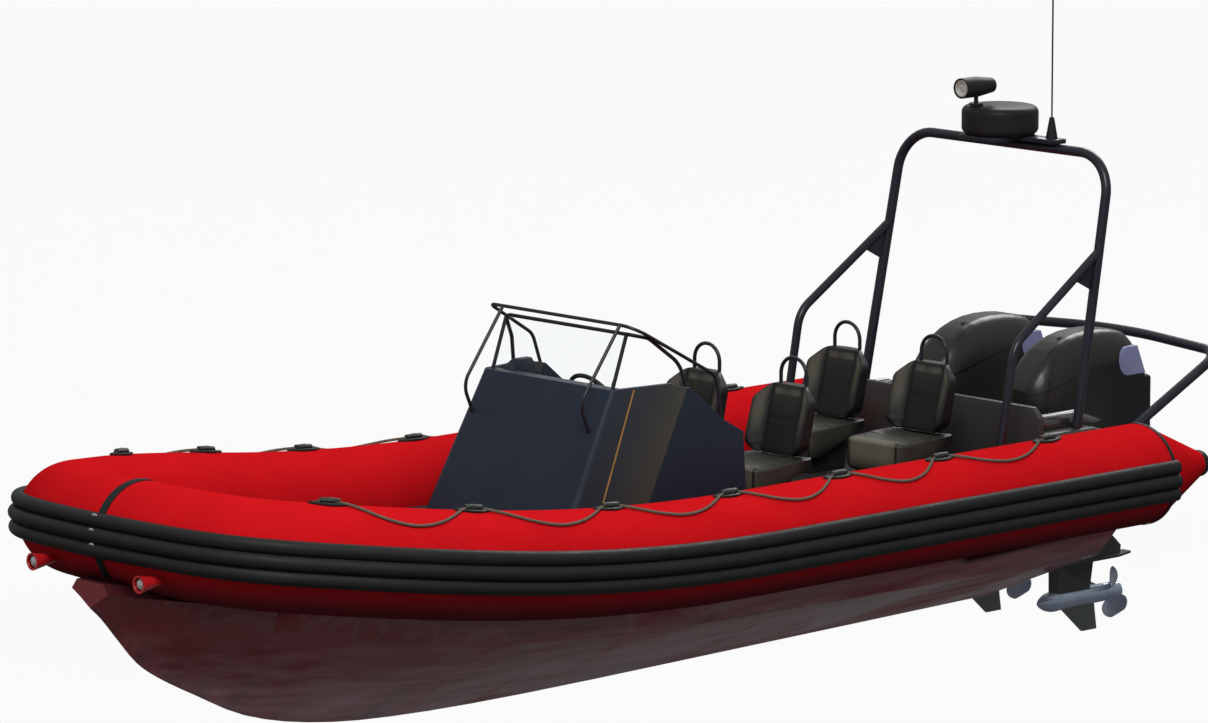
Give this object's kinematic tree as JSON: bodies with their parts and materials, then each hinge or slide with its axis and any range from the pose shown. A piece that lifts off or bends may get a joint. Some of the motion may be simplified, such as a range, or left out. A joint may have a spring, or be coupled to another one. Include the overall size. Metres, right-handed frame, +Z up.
{
  "type": "rigid inflatable boat",
  "caption": "Rigid inflatable boat with a deep vee hull, inflated collar, steering console, bucket seats, radar arch and outboard engines that tilt, steer and spin.",
  "frame": {"origin": "on the centreline at the waterline, amidships", "axes": "+X to the bow, +Y to port, +Z up"},
  "size_m": [7.9876, 3.136, 3.779],
  "materials": {
    "collar_red": "satin",
    "strake_black": "satin",
    "patch_black": "satin",
    "rope_braid": "woven",
    "hull_maroon": "gloss",
    "deck_grey": "matte",
    "console_navy": "gloss",
    "panel_black": "matte",
    "wheel_black": "satin",
    "pipe_navy": "gloss",
    "pane_clear": "polished",
    "seat_leather": "satin",
    "pedestal_grey": "gloss",
    "strap_black": "woven",
    "lamp_red": "gloss",
    "lamp_lens": "polished",
    "radome_shell": "gloss",
    "antenna_black": "satin",
    "engine_black": "satin",
    "cowl_dark": "gloss",
    "cowl_pale": "gloss",
    "gearcase_silver": "gloss",
    "propeller_steel": "polished"
  },
  "bodies": {
    "boat": {"tube_port": "collar_red", "tube_starboard": "collar_red", "tube_bow": "collar_red", "rub_strake_port": "strake_black", "rub_strake_starboard": "strake_black", "rub_strake_bow": "strake_black", "tube_cones": "collar_red", "tube_cone_caps": "strake_black", "hull": "hull_maroon", "deck": "deck_grey", "bow_strap": "strap_black", "bow_lamp_housings": "lamp_red", "bow_lamp_lenses": "lamp_lens", "rope_patches": "patch_black", "lifeline_port": "rope_braid", "lifeline_starboard": "rope_braid", "well_bulkhead": "console_navy", "stern_pod_port": "hull_maroon", "stern_pod_starboard": "hull_maroon", "pod_ridge_port": "hull_maroon", "pod_ridge_starboard": "hull_maroon", "console": "console_navy", "instrument_panel": "panel_black", "throttle_box": "panel_black", "binnacle": "panel_black", "windscreen_frame": "pipe_navy", "windscreen_pane": "pane_clear", "console_rail": "pipe_navy", "seat_pedestals": "pedestal_grey", "seat_cushions": "seat_leather", "seat_backs": "seat_leather", "seat_hoops": "pipe_navy", "arch_hoop": "pipe_navy", "arch_braces": "pipe_navy", "arch_gussets": "pipe_navy", "masthead_plate": "pipe_navy", "radome": "radome_shell", "searchlight_body": "radome_shell", "searchlight_lens": "lamp_lens", "searchlight_stem": "pipe_navy", "antenna": "antenna_black", "engine_guard": "pipe_navy", "engine_clamps": "engine_black"},
    "helm_wheel": {"steering_wheel": "wheel_black"},
    "swivel_port": {"swivel_port": "engine_black"},
    "engine_port": {"engine_leg_port": "engine_black", "gearcase_port": "gearcase_silver", "cowl_lower_port": "cowl_dark", "cowl_tail_port": "cowl_pale", "cowl_upper_port": "cowl_dark"},
    "propeller_port": {"propeller_port": "propeller_steel"},
    "swivel_starboard": {"swivel_starboard": "engine_black"},
    "engine_starboard": {"engine_leg_starboard": "engine_black", "gearcase_starboard": "gearcase_silver", "cowl_lower_starboard": "cowl_dark", "cowl_tail_starboard": "cowl_pale", "cowl_upper_starboard": "cowl_dark"},
    "propeller_starboard": {"propeller_starboard": "propeller_steel"}
  },
  "joints": [
    {"name": "tilt_port", "type": "hinge", "parent": "boat", "child": "swivel_port", "pos_m": [-3.445, 0.39, 0.272], "axis": [0, 1, 0], "range_deg": [0, 30]},
    {"name": "steer_port", "type": "hinge", "parent": "swivel_port", "child": "engine_port", "pos_m": [-3.505, 0.39, 0], "axis": [0, 0, 1], "range_deg": [-25, 25]},
    {"name": "spin_port", "type": "hinge", "parent": "engine_port", "child": "propeller_port", "pos_m": [-4.02, 0.39, -0.508], "axis": [1, 0, 0], "continuous": true},
    {"name": "tilt_starboard", "type": "hinge", "parent": "boat", "child": "swivel_starboard", "pos_m": [-3.445, -0.39, 0.272], "axis": [0, 1, 0], "range_deg": [0, 30]},
    {"name": "steer_starboard", "type": "hinge", "parent": "swivel_starboard", "child": "engine_starboard", "pos_m": [-3.505, -0.39, 0], "axis": [0, 0, 1], "range_deg": [-25, 25]},
    {"name": "spin_starboard", "type": "hinge", "parent": "engine_starboard", "child": "propeller_starboard", "pos_m": [-4.02, -0.39, -0.508], "axis": [1, 0, 0], "continuous": true},
    {"name": "helm_turn", "type": "hinge", "parent": "boat", "child": "helm_wheel", "pos_m": [-0.56, -0.353, 0.95], "axis": [-0.866, 0, 0.5], "range_deg": [-540, 540]}
  ],
  "couplings": [
    {"joint": "steer_starboard", "follows": "steer_port", "ratio": 1},
    {"joint": "helm_turn", "follows": "steer_port", "ratio": -21.6}
  ]
}
